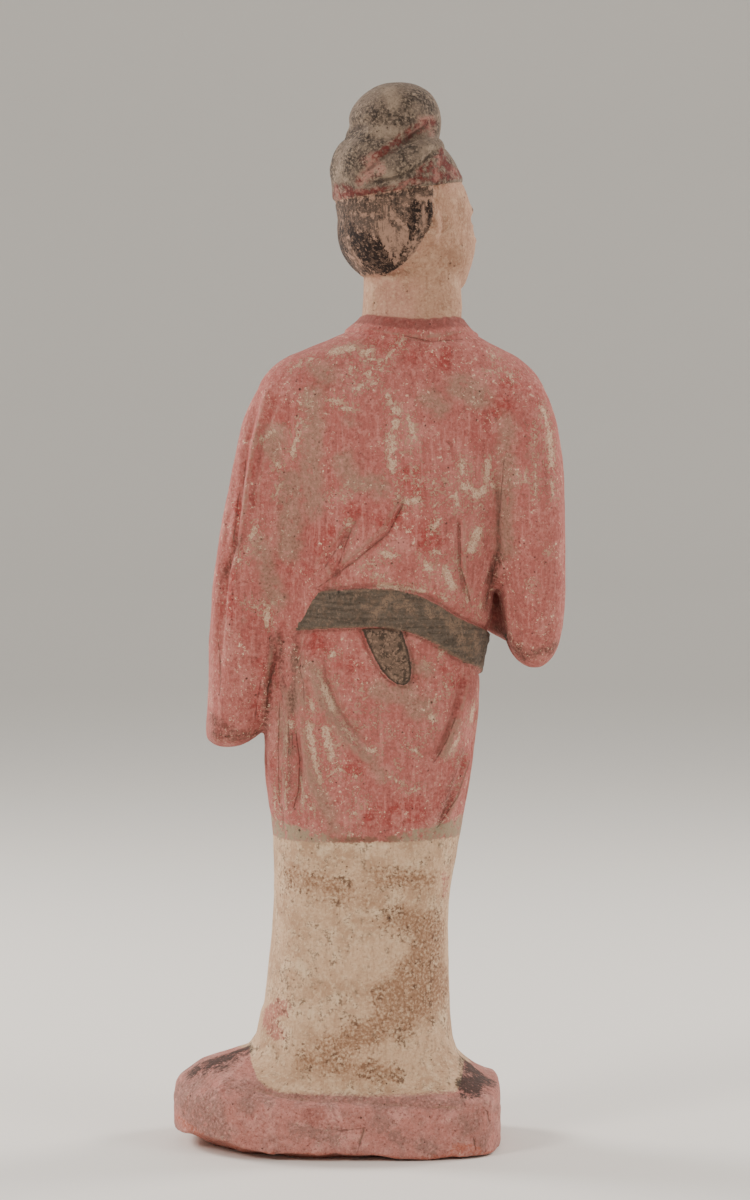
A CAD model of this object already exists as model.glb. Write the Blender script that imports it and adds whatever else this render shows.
import math

import bmesh
import bpy
import numpy as np
from mathutils import Matrix, Vector, noise


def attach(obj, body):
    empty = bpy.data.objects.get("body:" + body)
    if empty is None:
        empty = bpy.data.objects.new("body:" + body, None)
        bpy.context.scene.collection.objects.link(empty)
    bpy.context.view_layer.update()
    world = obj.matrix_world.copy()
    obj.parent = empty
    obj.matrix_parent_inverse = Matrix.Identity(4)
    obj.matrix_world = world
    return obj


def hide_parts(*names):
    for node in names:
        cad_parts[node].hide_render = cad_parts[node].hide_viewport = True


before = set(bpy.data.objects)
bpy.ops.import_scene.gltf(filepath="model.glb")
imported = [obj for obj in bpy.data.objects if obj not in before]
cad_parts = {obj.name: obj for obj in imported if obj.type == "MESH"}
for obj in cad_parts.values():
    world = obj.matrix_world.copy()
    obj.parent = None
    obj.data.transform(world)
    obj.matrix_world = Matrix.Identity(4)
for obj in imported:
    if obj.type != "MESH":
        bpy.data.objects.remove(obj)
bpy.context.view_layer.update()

# The clay is shaped in millimetres as it is seen from behind: x to the viewer's right,
# y away from the viewer, z up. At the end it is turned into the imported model's own frame.

figure = {
    "name": "attendant_painted_clay",
    "bodyYaw": 10.0,  # degrees that the body faces to the left of straight away
    "headYaw": -60.0,  # the head looks over the right shoulder
    "head": Vector((23.5, 3.0, 365.0)),  # middle of the skull, at the height of the eyes
    "foot": Vector((-3.4, 8.0, 3.6)),  # middle of the slab's underside
    "voxel": 0.78,
    "softening": 16,
    "triangles": 192000,
}


def turned(degrees):
    a = math.radians(degrees)
    return Vector((-math.sin(a), math.cos(a), 0.0))


up = Vector((0, 0, 1))
facing = turned(figure["headYaw"])
headRight = Vector((facing.y, -facing.x, 0))
headMiddle = figure["head"]
foot = figure["foot"]


def inHead(across, forward, height):
    return headMiddle + headRight * across + facing * forward + up * height


def onCurve(rows, at):  # the sizes at that height, on a smooth curve through the rows
    keys = np.asarray(rows, float)
    i = int(np.clip(np.searchsorted(keys[:, 0], at) - 1, 0, len(keys) - 2))
    low, high = keys[i], keys[i + 1]
    before, after = keys[max(i - 1, 0)], keys[min(i + 2, len(keys) - 1)]
    gap = high[0] - low[0]
    t = (at - low[0]) / gap
    slopeLow = (high - before) / (high[0] - before[0])
    slopeHigh = (after - low) / (after[0] - low[0])
    row = low * (2 * t**3 - 3 * t**2 + 1) + high * (3 * t**2 - 2 * t**3)
    row += slopeLow * gap * (t**3 - 2 * t**2 + t) + slopeHigh * gap * (t**3 - t**2)
    return row[1:]


def roundedOutline(angle, halfWidth, halfDepth, power):
    c, s = math.cos(angle), math.sin(angle)
    x = halfWidth * math.copysign(abs(c) ** (2 / power), c)
    y = halfDepth * math.copysign(abs(s) ** (2 / power), s)
    return x, y


def mixed(low, high, share):
    return low + (high - low) * share


clay = []  # the lumps of clay, before they are joined


def column(place, levels, segments=120):  # a circle extruded once a level, then shaped
    bm = bmesh.new()
    bmesh.ops.create_circle(bm, cap_ends=True, radius=1, segments=segments)
    rim = list(bm.edges)
    for _ in range(levels):
        made = bmesh.ops.extrude_edge_only(bm, edges=rim)["geom"]
        fresh = {g for g in made if isinstance(g, bmesh.types.BMVert)}
        rim = [g for g in made if isinstance(g, bmesh.types.BMEdge) and set(g.verts) <= fresh]
        bmesh.ops.translate(bm, verts=list(fresh), vec=(0, 0, 1))
    bmesh.ops.contextual_create(bm, geom=rim)
    for v in bm.verts:
        v.co = place(v.co.z / levels, math.atan2(v.co.y, v.co.x))
    bmesh.ops.recalc_face_normals(bm, faces=bm.faces)
    clay.append(bm)


def swell(rows, power=2.3, levels=70, origin=Vector(), yaw=figure["bodyYaw"]):
    turn = Matrix.Rotation(math.radians(yaw), 3, "Z")

    def place(share, angle):
        z = mixed(rows[0][0], rows[-1][0], share)
        across, depth, halfWidth, halfDepth = onCurve(rows, z)
        x, y = roundedOutline(angle, halfWidth, halfDepth, power)
        return origin + Vector((across, depth, z)) + turn @ Vector((x, y, 0))

    column(place, levels)


def egg(centre, radii, axes, power=2.0):  # a rounded lump, squarer where power is above 2
    bm = bmesh.new()
    bmesh.ops.create_uvsphere(bm, u_segments=48, v_segments=30, radius=1)
    for v in bm.verts:
        swelling = sum(abs(c) ** power for c in v.co) ** (-1 / power)
        sizes = [c * swelling * radius for c, radius in zip(v.co, radii)]
        v.co = centre + sum((axis * size for axis, size in zip(axes, sizes)), Vector())
    bmesh.ops.recalc_face_normals(bm, faces=bm.faces)
    clay.append(bm)


robe = {
    # height, middle across, middle in depth, half width, half depth
    "body": (
        (14, 4.0, 5, 36.5, 30.5), (50, 4.0, 5, 37.2, 30.0), (60, 4.6, 5, 36.6, 29.0),
        (76, 5.2, 5, 35.4, 27.5), (100, 6.4, 5, 34.6, 27.0), (126, 8.4, 5, 36.9, 28.5),
        (151, 9.0, 6, 40.3, 31.5), (176, 10.4, 7, 42.0, 33.0), (195, 12.6, 7, 42.0, 32.5),
        (209, 14.6, 6, 43.0, 31.0), (222, 16.2, 4, 42.6, 30.5), (245, 20.0, 2, 41.5, 29.5),
        (258, 21.4, 1, 43.0, 28.5), (272, 22.0, 0, 47.5, 27.0), (285, 22.0, -1, 53.0, 25.0),
        (295, 22.0, -1, 57.5, 23.5), (301, 22.0, -1, 57.0, 22.5), (307.5, 22.0, 0, 53.4, 21.0),
        (314, 22.2, 1, 45.2, 19.5), (320, 24.1, 2, 30.6, 18.2), (326, 25.5, 3, 20.4, 16.6),
        (332, 26.3, 3, 19.4, 15.8), (352, 26.0, 3, 18.5, 15.4),
    ),
    "hangingArm": (
        (161, -44.8, 3, 6.0, 8.0), (162.5, -44.2, 3, 9.4, 11.8), (166, -43.2, 3, 11.4, 14.2),
        (172, -42.4, 3, 11.9, 14.9), (185, -41.2, 3, 12.4, 15.5),
        (205, -38.8, 2, 14.5, 16.0), (235, -32.6, 1, 18.2, 16.5), (265, -25.6, 0, 19.6, 17.0),
        (285, -20.6, 0, 20.6, 16.0), (291, -18.8, 0, 20.4, 15.0), (297, -16.8, 0, 20.0, 13.5),
        (303, -14.0, 0, 18.8, 11.5), (308, -11.0, 0, 15.0, 8.0),
    ),
    "bentArm": (
        (192, 73.6, 2, 3.0, 5.0), (193.5, 73.6, 2, 5.0, 7.6), (197, 73.6, 2, 8.0, 11.4),
        (203, 73.6, 2, 10.4, 13.8), (213, 73.6, 2, 12.0, 15.0),
        (232, 72.3, 1, 13.6, 16.0), (250, 71.0, 0, 15.0, 16.5), (270, 68.3, 0, 17.0, 16.5),
        (285, 64.6, 0, 19.0, 16.0), (291, 62.8, 0, 19.2, 15.0), (297, 60.6, 0, 19.5, 13.5),
        (303, 58.0, 0, 18.6, 11.5), (308, 55.0, 0, 14.5, 8.0),
    ),
    # the cloth that joins each arm to the body, so that only a shallow hollow runs between
    "leftWeb": (
        (165, -31.0, 1, 2.5, 4.0), (168, -31.0, 1, 5.0, 9.0), (175, -30.5, 1, 7.0, 13.5),
        (190, -29.0, 1, 8.0, 15.5), (210, -26.0, 1, 8.5, 16.5), (235, -21.5, 1, 9.0, 17.8),
        (260, -17.0, 0, 10.0, 18.5), (280, -13.0, 0, 10.0, 17.5), (296, -9.0, 0, 8.0, 13.0),
    ),
    "rightWeb": (
        (223, 60.0, 2, 3.0, 5.0), (228, 60.0, 1, 5.5, 9.5), (236, 59.8, 1, 7.5, 13.0),
        (250, 59.0, 1, 8.5, 15.2), (266, 57.0, 0, 9.5, 16.0), (282, 53.0, 0, 9.0, 15.5),
    ),
    # elbow, bend and wrist, then share of the way, half height and half depth
    "forearmRoute": (Vector((74.5, 2, 209)), Vector((77, 34, 212)), Vector((23, 39, 234))),
    "forearm": (
        (0.0, 10.0, 9.0), (0.12, 12.6, 10.8), (0.4, 14.0, 10.8), (0.65, 13.2, 9.6),
        (0.9, 10.6, 8.6), (0.96, 9.4, 7.6), (1.0, 6.0, 5.0),
    ),
    "cuff": Vector((31.0, 37.0, 226.0)),
    "toes": ((-14.0, 12.0), (18.0, -10.0)),  # across, and degrees turned out
    "heel": (25.0, 33.5),  # in depth and in height
    "shoulders": (252, 326),  # heights between which the skin is softened
}


def shapeRobe():
    swell(robe["body"])
    swell(robe["hangingArm"], power=2.2, levels=54)
    swell(robe["bentArm"], power=2.2, levels=48)
    swell(robe["leftWeb"], levels=50)
    swell(robe["rightWeb"], levels=36)
    elbow, bend, wrist = robe["forearmRoute"]

    def place(share, angle):
        spot = elbow.lerp(bend, share).lerp(bend.lerp(wrist, share), share)
        along = mixed(bend - elbow, wrist - bend, share).normalized()
        side = along.cross(up).normalized()
        halfHeight, halfDepth = onCurve(robe["forearm"], share)
        x, y = roundedOutline(angle, halfDepth, halfHeight, 2.2)
        return spot + side * x + side.cross(along) * y

    column(place, 40, segments=64)
    hang = (up + Vector((0.35, 0, 0))).normalized()
    away = Vector((0, 1, 0))
    egg(robe["cuff"], (8.0, 6.6, 16.0), (hang.cross(away), away, hang), 2.6)
    for across, splay in robe["toes"]:
        toe = turned(figure["bodyYaw"] + splay)
        axes = (Vector((toe.y, -toe.x, 0)), toe, up)
        heel = Vector((across, *robe["heel"]))
        egg(heel + toe * 6, (9.0, 15.0, 7.0), axes, 2.5)
        egg(heel + toe * 14 + up * 1.5, (8.4, 8.0, 7.0), axes, 2.3)


slab = {
    "half": (64.5, 44.0),
    "power": (2.3, 5.0),  # how square the outline is at the left and at the near right
    "thick": 20.4,
    "rise": 4.6,  # by which it is thicker at its two ends
    "moundLow": 0.62,  # how much lower the mound is behind, and at the right end
    "moundLowRight": 1.0,
    # how far the mound has closed in on the skirt, and its height there
    "mound": ((0.0, 0.0), (0.0, 4.0), (0.0, 15.0), (0.01, 18.5), (0.05, 21.0), (0.3, 27.2),
              (0.6, 30.6), (0.84, 33.5), (0.94, 38.5), (1.0, 49.0)),
}


def shapeSlab():
    mound = slab["mound"]
    across, depth, halfWidth, halfDepth = onCurve(robe["body"], mound[-1][1])

    def outline(angle):
        rightward = 0.5 + 0.5 * math.cos(angle)
        near = 0.5 - 0.5 * math.sin(angle)
        power = mixed(*slab["power"], rightward**2 * mixed(0.3, 1.0, near))
        x, y = roundedOutline(angle, *slab["half"], power)
        return foot + Vector((x, y, 0))

    def place(share, angle):
        step = share * (len(mound) - 1)
        i = min(int(step), len(mound) - 2)
        closed = mixed(mound[i][0], mound[i + 1][0], step - i)
        z = mixed(mound[i][1], mound[i + 1][1], step - i)
        low = slab["moundLow"] * abs(math.sin(angle)) ** 3
        low += slab["moundLowRight"] * max(math.cos(angle), 0) ** 2 * (1 - closed)
        if z > slab["thick"]:
            z = slab["thick"] + (z - slab["thick"]) * (1 - low)
        z += slab["rise"] * math.cos(angle) ** 2 * min(z / slab["thick"], 1.0)
        x, y = roundedOutline(angle, halfWidth, halfDepth, 2.3)
        skirt = Vector((across + x, depth + y, 0))
        spot = outline(angle).lerp(skirt, closed)
        return Vector((spot.x, spot.y, foot.z + z))

    column(place, 4 * (len(mound) - 1), segments=160)


head = {
    # height above the eyes, shift to the right and forward, half width, half depth
    "skull": (
        (-27, 0, 10.5, 8.4, 9.2), (-24, 0, 8.2, 13.0, 15.4), (-18, 0, 4.8, 17.8, 21.2),
        (-10, 0, 2.6, 20.6, 24.8), (0, 0, 1.0, 22.2, 26.4), (12, 0, -1.6, 22.8, 25.4),
        (24, 0, -4.6, 20.0, 22.0), (32, 0, -4.6, 13.0, 15.0),
    ),
    "eye": 8.2,  # width of one eye, and the space between the two
    "third": 14.0,  # brow to the nose's base, and a third of the whole face
    "brow": 5.0,
    "capRim": 13.0,  # height of the cap's rim above the eyes, at the middle
}


def shapeHead():
    axes = (headRight, facing, up)
    turn = Matrix.Rotation(math.radians(figure["headYaw"]), 3, "Z")
    rows = [(z, *(turn @ Vector((x, y, 0))).to_2d(), w, d) for z, x, y, w, d in head["skull"]]
    swell(rows, power=2.2, levels=50, origin=headMiddle, yaw=figure["headYaw"])
    egg(inHead(0, -6.9, -1.5), (23.2, 18.7, 21), axes)  # hair at the nape
    for side in (-1, 1):
        egg(inHead(9.8 * side, 11.5, -10), (10.2, 12.0, 12.5), axes)  # cheek
        egg(inHead(22.4 * side, -1.5, -1), (2.6, 4.2, 7.8), axes)  # ear
    # the soft cap: two swellings, one on the other, with a puffed tuck on each side
    lower = (headRight, facing, up - facing * 0.2)
    upper = (headRight, facing, up + facing * 0.14)
    egg(inHead(0, -4.2, 18.2), (22.4, 24.6, 18.0), lower, 2.1)
    egg(inHead(0, -5.4, 36.6), (17.0, 17.2, 17.8), upper, 2.2)
    for side in (-1, 1):
        along = (facing * 0.86 + up * 0.5).normalized()
        outward = headRight * side
        egg(inHead(14.2 * side, -5.5, 23.4), (9.0, 14.8, 7.0),
            (outward, along, outward.cross(along)))


def settle(piece):  # makes the modifiers' result the piece's own mesh
    graph = bpy.context.evaluated_depsgraph_get()
    graph.update()
    mesh = bpy.data.meshes.new_from_object(piece.evaluated_get(graph))
    piece.modifiers.clear()
    piece.data = mesh
    mesh.name = piece.name


def joinClay():  # one skin over all the lumps, softened where they meet
    whole = bmesh.new()
    for bm in clay:
        part = bpy.data.meshes.new("lump")
        bm.to_mesh(part)
        bm.free()
        whole.from_mesh(part)
        bpy.data.meshes.remove(part)
    mesh = bpy.data.meshes.new(figure["name"])
    whole.to_mesh(mesh)
    whole.free()
    piece = bpy.data.objects.new(figure["name"], mesh)
    bpy.context.scene.collection.objects.link(piece)
    wrap = piece.modifiers.new("wrap", "REMESH")
    wrap.mode = "VOXEL"
    wrap.voxel_size = figure["voxel"]
    soft = piece.modifiers.new("soft", "SMOOTH")
    soft.factor = 0.5
    soft.iterations = figure["softening"]
    settle(piece)
    return piece


def ease(x):
    t = np.clip(x, 0.0, 1.0)
    return t * t * (3 - 2 * t)


# where each side is seen from: its origin, the way that runs across it, the way it faces
sides = {
    "back": (Vector(), Vector((1, 0, 0)), Vector((0, -1, 0))),
    "front": (Vector(), Vector((1, 0, 0)), Vector((0, 1, 0))),
    "left": (Vector(), Vector((0, 1, 0)), Vector((-1, 0, 0))),
    "right": (Vector(), Vector((0, 1, 0)), Vector((1, 0, 0))),
    "face": (headMiddle, headRight, facing),
    "headNear": (headMiddle, Vector((1, 0, 0)), Vector((0, -1, 0))),
    "headFar": (headMiddle, turned(2 * figure["headYaw"] + 90),
                turned(2 * figure["headYaw"] + 180)),
}
skin = {}  # the mesh being carved, with its points and normals


def readSkin(mesh):
    skin["mesh"] = mesh
    count = len(mesh.vertices)
    for key, source, name in (("points", mesh.vertices, "co"),
                              ("normals", mesh.vertex_normals, "vector")):
        values = np.empty(count * 3)
        source.foreach_get(name, values)
        skin[key] = values.reshape(-1, 3)


def writeSkin():
    skin["mesh"].vertices.foreach_set("co", skin["points"].ravel())
    skin["mesh"].update()
    readSkin(skin["mesh"])


def raiseBy(amount):
    skin["points"] += skin["normals"] * amount[:, None]
    writeSkin()


def seenFrom(side):  # places across and up on that side, and how squarely they face it
    origin, across, out = sides[side]
    away = skin["points"] - np.array(origin)
    flat = np.stack([away @ np.array(across), away[:, 2]], axis=1)
    return flat, ease((skin["normals"] @ np.array(out) + 0.05) / 0.4)


def bowed(start, end, bow, pieces=12):
    start, end = np.array(start, float), np.array(end, float)
    run = end - start
    left = np.array((-run[1], run[0])) / np.hypot(*run)
    t = np.linspace(0, 1, pieces + 1)[:, None]
    return start + run * t + left * bow * 4 * t * (1 - t)


def distanceAlong(spots, path):  # distance from the path, plus on its left, and its share
    best = np.full(len(spots), 1e9)
    offset = np.zeros(len(spots))
    share = np.zeros(len(spots))
    pieces = len(path) - 1
    for i in range(pieces):
        run = path[i + 1] - path[i]
        away = spots - path[i]
        t = np.clip(away @ run / (run @ run), 0, 1)
        gap = away - t[:, None] * run
        distance = np.hypot(gap[:, 0], gap[:, 1])
        left = np.sign(run[0] * away[:, 1] - run[1] * away[:, 0])
        closer = distance < best
        best[closer] = distance[closer]
        offset[closer] = (left * distance)[closer]
        share[closer] = (i + t[closer]) / pieces
    return offset, share


def strokes(side, folds):  # each fold is start, end, bow to the left, width, depth and lip
    follow(side, [(bowed(start, end, bow), *sizes) for start, end, bow, *sizes in folds])


def follow(side, folds):
    # The lip is the height of the cloth beside the groove as a share of its depth, on the
    # left, or a minus number on the right. A minus depth makes a ridge.
    flat, square = seenFrom(side)
    amount = np.zeros(len(flat))
    for points, width, depth, lip in folds:
        path = np.array(points, float)
        reach = 6 * width
        near = np.all((flat > path.min(0) - reach) & (flat < path.max(0) + reach), axis=1)
        near &= square > 0
        offset, share = distanceAlong(flat[near], path)
        fade = ease(share / 0.22) * ease((1 - share) / 0.22)
        d = offset / width
        beside = d * math.copysign(1, lip)
        stands = ease(beside / 0.9) * np.exp(-np.clip(beside - 0.9, 0, None) / 1.7)
        shape = abs(lip) * stands - np.exp(-d * d)
        amount[near] += depth * shape * fade * square[near]
    raiseBy(amount)


def relief(side, dabs):  # across, up, half width, half height, push
    flat, square = seenFrom(side)
    push = np.zeros(len(flat))
    for across, height, halfWidth, halfHeight, amount in dabs:
        away = ((flat[:, 0] - across) / halfWidth) ** 2
        away += ((flat[:, 1] - height) / halfHeight) ** 2
        push += amount * np.exp(-away)
    skin["points"] += (push * square)[:, None] * np.array(sides[side][2])
    writeSkin()


def neighbours():
    edges = np.empty(len(skin["mesh"].edges) * 2, int)
    skin["mesh"].edges.foreach_get("vertices", edges)
    a, b = edges.reshape(-1, 2).T
    return np.concatenate([a, b]), np.concatenate([b, a])


def soften(share, passes):
    ends, others = neighbours()
    count = np.bincount(ends, minlength=len(skin["points"]))
    for _ in range(passes):
        for axis in range(3):
            around = np.bincount(ends, weights=skin["points"][others, axis]) / count
            skin["points"][:, axis] += (around - skin["points"][:, axis]) * share * 0.5
    writeSkin()


def aroundBody(points):  # degrees round the body, 0 behind and 90 at the viewer's right
    middle = np.array([onCurve(robe["body"], z)[:2] for z in range(12, 353)])
    row = np.clip(points[:, 2] - 12, 0, len(middle) - 1).astype(int)
    away = points[:, :2] - middle[row]
    return np.degrees(np.arctan2(away[:, 0], -away[:, 1]))


folds = {
    "back": [
        # hollows between the arms and the back
        ((-8, 302), (-26, 206), 1.0, 5.0, 1.2, 0.0),
        ((62, 290), (59, 222), -1.0, 3.2, 1.5, 0.0),
        # soft planes of the shoulders
        ((-4, 309), (12, 300), 2.0, 5.0, 0.6, 0.0),
        ((48, 300), (62, 282), 3.0, 5.0, 0.6, 0.0),
    ],
    "pleats": [
        # crease down the outer sleeve, with a ridge and a second crease beside its top
        (((-30, 308), (-32, 303.3), (-37.9, 280.7), (-40.9, 259.1), (-42.8, 241.4),
          (-46.8, 229.6), (-48.4, 213), (-49.2, 201.8), (-48.4, 193), (-48.7, 178)), 1.4, 1.4, 0.0),
        (((-27.5, 308), (-34.6, 282), (-37.9, 262), (-40, 244)), 1.3, -0.9, 0.0),
        (((-22.5, 307), (-31.5, 284), (-35.2, 262), (-36.5, 246)), 1.2, 1.2, 0.0),
        # pulls that sweep down to the belt's hidden end
        (((24.5, 263), (21.9, 256.2), (16.5, 245.6), (3.3, 234.6), (-12, 223.8)), 2.3, 1.2, -1.1),
        (((6, 255), (2.3, 246.4), (-2.6, 233.7), (-4, 227)), 1.6, 1.1, 0.6),
        (((2, 249), (-0.7, 243.4), (-7.5, 235.6), (-13, 228)), 1.6, 1.1, -0.5),
        # creases beside the bent arm
        (((44.2, 254), (44.5, 246), (44.5, 233.6), (49, 213)), 1.3, 1.5, 0.6),
        (((59.2, 272), (58.7, 239.5), (54, 212)), 1.6, 1.3, -0.5),
        (((20, 321.5), (32.8, 319.3), (50, 320.3)), 1.0, 0.8, 0.0),
        # the crevice between the hanging sleeve and the skirt
        (((-25, 204), (-26.6, 196.4), (-29.3, 186.8), (-29.8, 179.4), (-31, 164)), 2.2, 2.6, 0.0),
        # the seat's deep curve: a roll of cloth and its valley, and edges on the right
        (((-13.7, 206), (-11.6, 188.3), (-8, 178), (-2, 168.4), (5.3, 161), (13, 155)),
         2.5, -2.1, 0.0),
        (((-9.6, 208), (-7.6, 190), (-3.8, 180), (2.2, 171), (10, 163)), 1.6, 1.5, 0.0),
        (((49.5, 199), (42.4, 174.3), (39.1, 165.4), (34, 155)), 1.8, 1.7, 1.1),
        (((48.4, 162), (43.5, 144.8), (35.5, 129)), 1.5, 1.4, 0.8),
        # pleats at the slit under the hanging sleeve
        (((-15.2, 206), (-16, 186), (-15.3, 166), (-12.4, 148), (-3, 130)), 2.2, -1.9, 0.0),
        (((-18.6, 206), (-18.2, 198.6), (-16.2, 188), (-16, 178)), 1.1, 1.3, 0.0),
        (((-18.7, 174), (-17.2, 158), (-17.5, 147), (-19.9, 136)), 1.1, 1.5, 0.0),
        (((-22.6, 188), (-21.2, 170.6), (-23.4, 154.4), (-21, 128)), 1.5, -1.1, 0.0),
        (((-25, 186), (-25.6, 161.8), (-24.8, 134)), 1.1, 1.3, 0.0),
        (((-28.4, 172), (-28.8, 156), (-27.2, 128)), 1.3, -0.9, 0.0),
    ],
    "front": [
        ((40, 311), (47, 232), -2.0, 1.4, 1.0, 0.8),  # closing edge of the robe
        # hollows between the arms and the chest
        ((62, 292), (58, 244), 1.5, 3.6, 1.8, 0.0),
        ((-8, 300), (-22, 190), -1.5, 4.5, 2.0, 0.0),
        # folds that fall from the shoulder to the forearm
        ((6, 296), (20, 246), -4.0, 2.2, 1.2, 0.5),
        ((-3, 284), (6, 232), -3.0, 2.2, 1.2, 0.5),
        ((20, 286), (34, 250), -3.0, 2.0, 0.9, 0.4),
        # slanting folds of the bent sleeve, and its hanging mouth
        ((80, 230), (60, 206), 3.0, 1.9, 1.6, 0.6),
        ((70, 240), (46, 216), 3.0, 1.8, 1.3, 0.5),
        ((31, 240), (29, 217), 1.0, 1.7, 1.5, 0.5),
        ((37, 236), (36, 214), 1.0, 1.6, 1.2, 0.4),
    ],
    "lap": [
        # a hanging curve between two long pleats, and one more at each side
        ((-10, 169), (31, 169), -14.0, 2.0, 1.5, 0.6),
        ((-15, 168), (3, 122), -2.0, 2.0, 1.5, 0.7),
        ((37, 166), (19, 122), 2.5, 2.0, 1.5, -0.7),
        ((-24, 178), (-19, 124), 0.8, 1.6, 1.4, 0.5),
        ((49, 180), (42, 126), -0.8, 1.6, 1.4, 0.6),
        # the underskirt's long soft folds
        ((7, 116), (5, 52), 1.0, 3.2, 1.0, 0.0),
        ((-13, 112), (-17, 46), -1.0, 2.8, 0.8, 0.0),
        ((24, 112), (28, 46), 1.0, 2.8, 0.8, 0.0),
    ],
    "left": [
        ((-2, 290), (2, 182), 2.0, 3.0, 1.0, 0.5),
        ((-9, 276), (-8, 190), -1.5, 2.4, 0.8, 0.4),
        ((0, 158), (2, 132), 0.5, 2.2, 1.2, 0.5),
    ],
    "right": [
        ((-4, 286), (-6, 222), 2.0, 3.0, 0.8, 0.4),
        ((8, 262), (2, 214), 3.0, 2.2, 1.1, 0.5),
        ((12, 240), (-2, 202), 3.0, 2.0, 1.1, 0.5),
        ((0, 182), (2, 134), 0.5, 2.2, 1.2, 0.5),
    ],
}


def carveRobe():
    height = skin["points"][:, 2]
    low, high = robe["shoulders"]
    soften(ease((height - low) / 40) * ease((high - height) / 8), 50)
    strokes("back", folds["back"])
    follow("back", folds["pleats"])
    strokes("front", folds["front"])
    strokes("front", folds["lap"])
    strokes("left", folds["left"])
    strokes("right", folds["right"])
    x, height = skin["points"][:, 0], skin["points"][:, 2]
    hem = ease((174.0 - height) / 10) * ease((height - 150.0) / 6) * ease((-29.0 - x) / 2)
    skin["points"][:, 2] += 2.6 * hem * ease((x + 46.0) / 16)  # the hanging sleeve's hem
    writeSkin()


belt = {
    # degrees round the body from behind, to the right above 0, and the belt's height there
    "route": ((-235, 192.5), (-200, 193.5), (-150, 198), (-100, 209), (-60, 214.5),
              (-42, 216.0), (-15, 216.8), (3, 216.6), (23, 214.2), (37, 210.8), (53, 205.2),
              (66, 201.8), (78, 199.6), (95, 196.4), (125, 192.5), (160, 193.5), (210, 198)),
    "half": 7.5,
    "tongueTop": 208.5,
    "tongueLength": 21.5,
    "tongueHalf": 7.5,
    "plaqueStep": 15,  # degrees from one plaque to the next
}


def beltHeight(angle):
    degrees = np.arange(-180, 181)
    heights = np.array([onCurve(belt["route"], d)[0] for d in degrees])
    return np.interp(angle, degrees, heights)


def beltInside():  # how far each point lies inside the belt's edges, and where it shows
    points = skin["points"]
    angle = aroundBody(points)
    height = points[:, 2] - beltHeight(angle)
    offBody = np.hypot(points[:, 0] - 15.0, (points[:, 1] - 4.0) * 1.35)
    onWaist = ease((50.0 - offBody) / 3)
    # the hanging sleeve hides it on the left
    covered = ease((angle + 128) / 10) * ease((-47 - angle + height * 0.8) / 4)
    return angle, height, belt["half"] - np.abs(height), onWaist * (1 - covered)


def tongueInside():
    flat, square = seenFrom("back")
    drop = belt["tongueTop"] - flat[:, 1]
    middle = 14.3 + 0.37 * drop
    taper = (np.clip(drop, 0, None) / belt["tongueLength"]) ** 2.8
    halfWidth = belt["tongueHalf"] * np.sqrt(np.clip(1 - taper, 0, 1))
    inside = np.minimum(halfWidth - np.abs(flat[:, 0] - middle), belt["tongueLength"] - drop)
    return inside, square, ease((drop + 0.5) / 1.5)


def carveBelt():
    angle, height, inside, shown = beltInside()
    nip = -1.6 * np.exp(-((height / 14.0) ** 2))
    strap = 1.5 * ease(inside / 1.2 + 0.5)
    groove = -0.6 * np.exp(-((inside + 0.8) ** 2)) - 0.2 * np.exp(-(((inside - 1.9) / 0.7) ** 2))
    step = belt["plaqueStep"]
    plaque = ease((inside - 1.3) / 0.8) * ease((4.6 - np.abs(angle % step - step / 2)) * 0.9)
    bumps = 0.5 * np.clip(roughness(2.6, 6), 0, 1) * ease((inside - 2.0) / 1.5) * (angle > 5)
    raiseBy((nip + strap + groove + 0.4 * plaque * (angle > 30) + bumps) * shown)
    inside, square, below = tongueInside()
    rim = -0.7 * np.exp(-((inside + 0.8) ** 2))
    bumps = 0.5 * roughness(2.8, 7) * ease((inside - 0.6) / 1.5)
    raiseBy((1.5 * ease(inside / 1.3 + 0.5) + rim + bumps) * square * below)


def collarHeight():
    x, y, z = skin["points"].T
    nearNeck = ease((31.0 - np.hypot(x - 26.5, y - 3.0)) / 2)
    return z - (319.5 - 0.28 * (y - 3.0) + 5.5 * ((x - 26.5) / 22.0) ** 2), nearNeck


def headPlaces():  # how far right, forward and up from the skull's middle
    away = skin["points"] - np.array(headMiddle)
    return away @ np.array(headRight), away @ np.array(facing), away[:, 2]


def hairInside():
    _, forward, height = headPlaces()
    frontEdge = -1.2 - 0.0117 * (13 - height) ** 2
    return np.minimum(frontEdge - forward, height + 20.0)


def capInside():
    rightward, forward, height = headPlaces()
    return height - (head["capRim"] + 0.14 * forward + 0.06 * rightward)


def mirrored(dabs):
    return list(dabs) + [(-a, *rest) for a, *rest in dabs if a]


def carveHead():
    height, nearNeck = collarHeight()
    raiseBy(0.9 * ease((4.2 - np.abs(height)) / 1.2 + 0.5) * nearNeck)
    over = capInside()
    inside = np.minimum(hairInside(), 20.0 - headPlaces()[2])
    raiseBy(0.9 * ease(inside / (1.4 + 9.0 * ease(over / 3)) + 0.5))  # no edge under the cap
    raiseBy((over > -8) * (0.8 * ease(over / 1.2 + 0.5) - 0.5 * np.exp(-over * over)))
    for side in ("headNear", "headFar"):
        strokes(side, [
            ((-21, 15.0), (15, 42.0), 0.5, 2.2, 1.4, 0.5),  # the tie's channel
            ((-18.5, 15.5), (14.5, 33.0), -6.0, 1.6, 1.1, 0.5),  # under the puffed tuck
            ((-25, 35.5), (-3, 37.5), 1.5, 2.4, 1.0, 0.0),  # between the two swellings
            ((-22, 18.5), (-13, 33.0), 3.5, 2.4, -0.6, 0.0),
        ])


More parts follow.
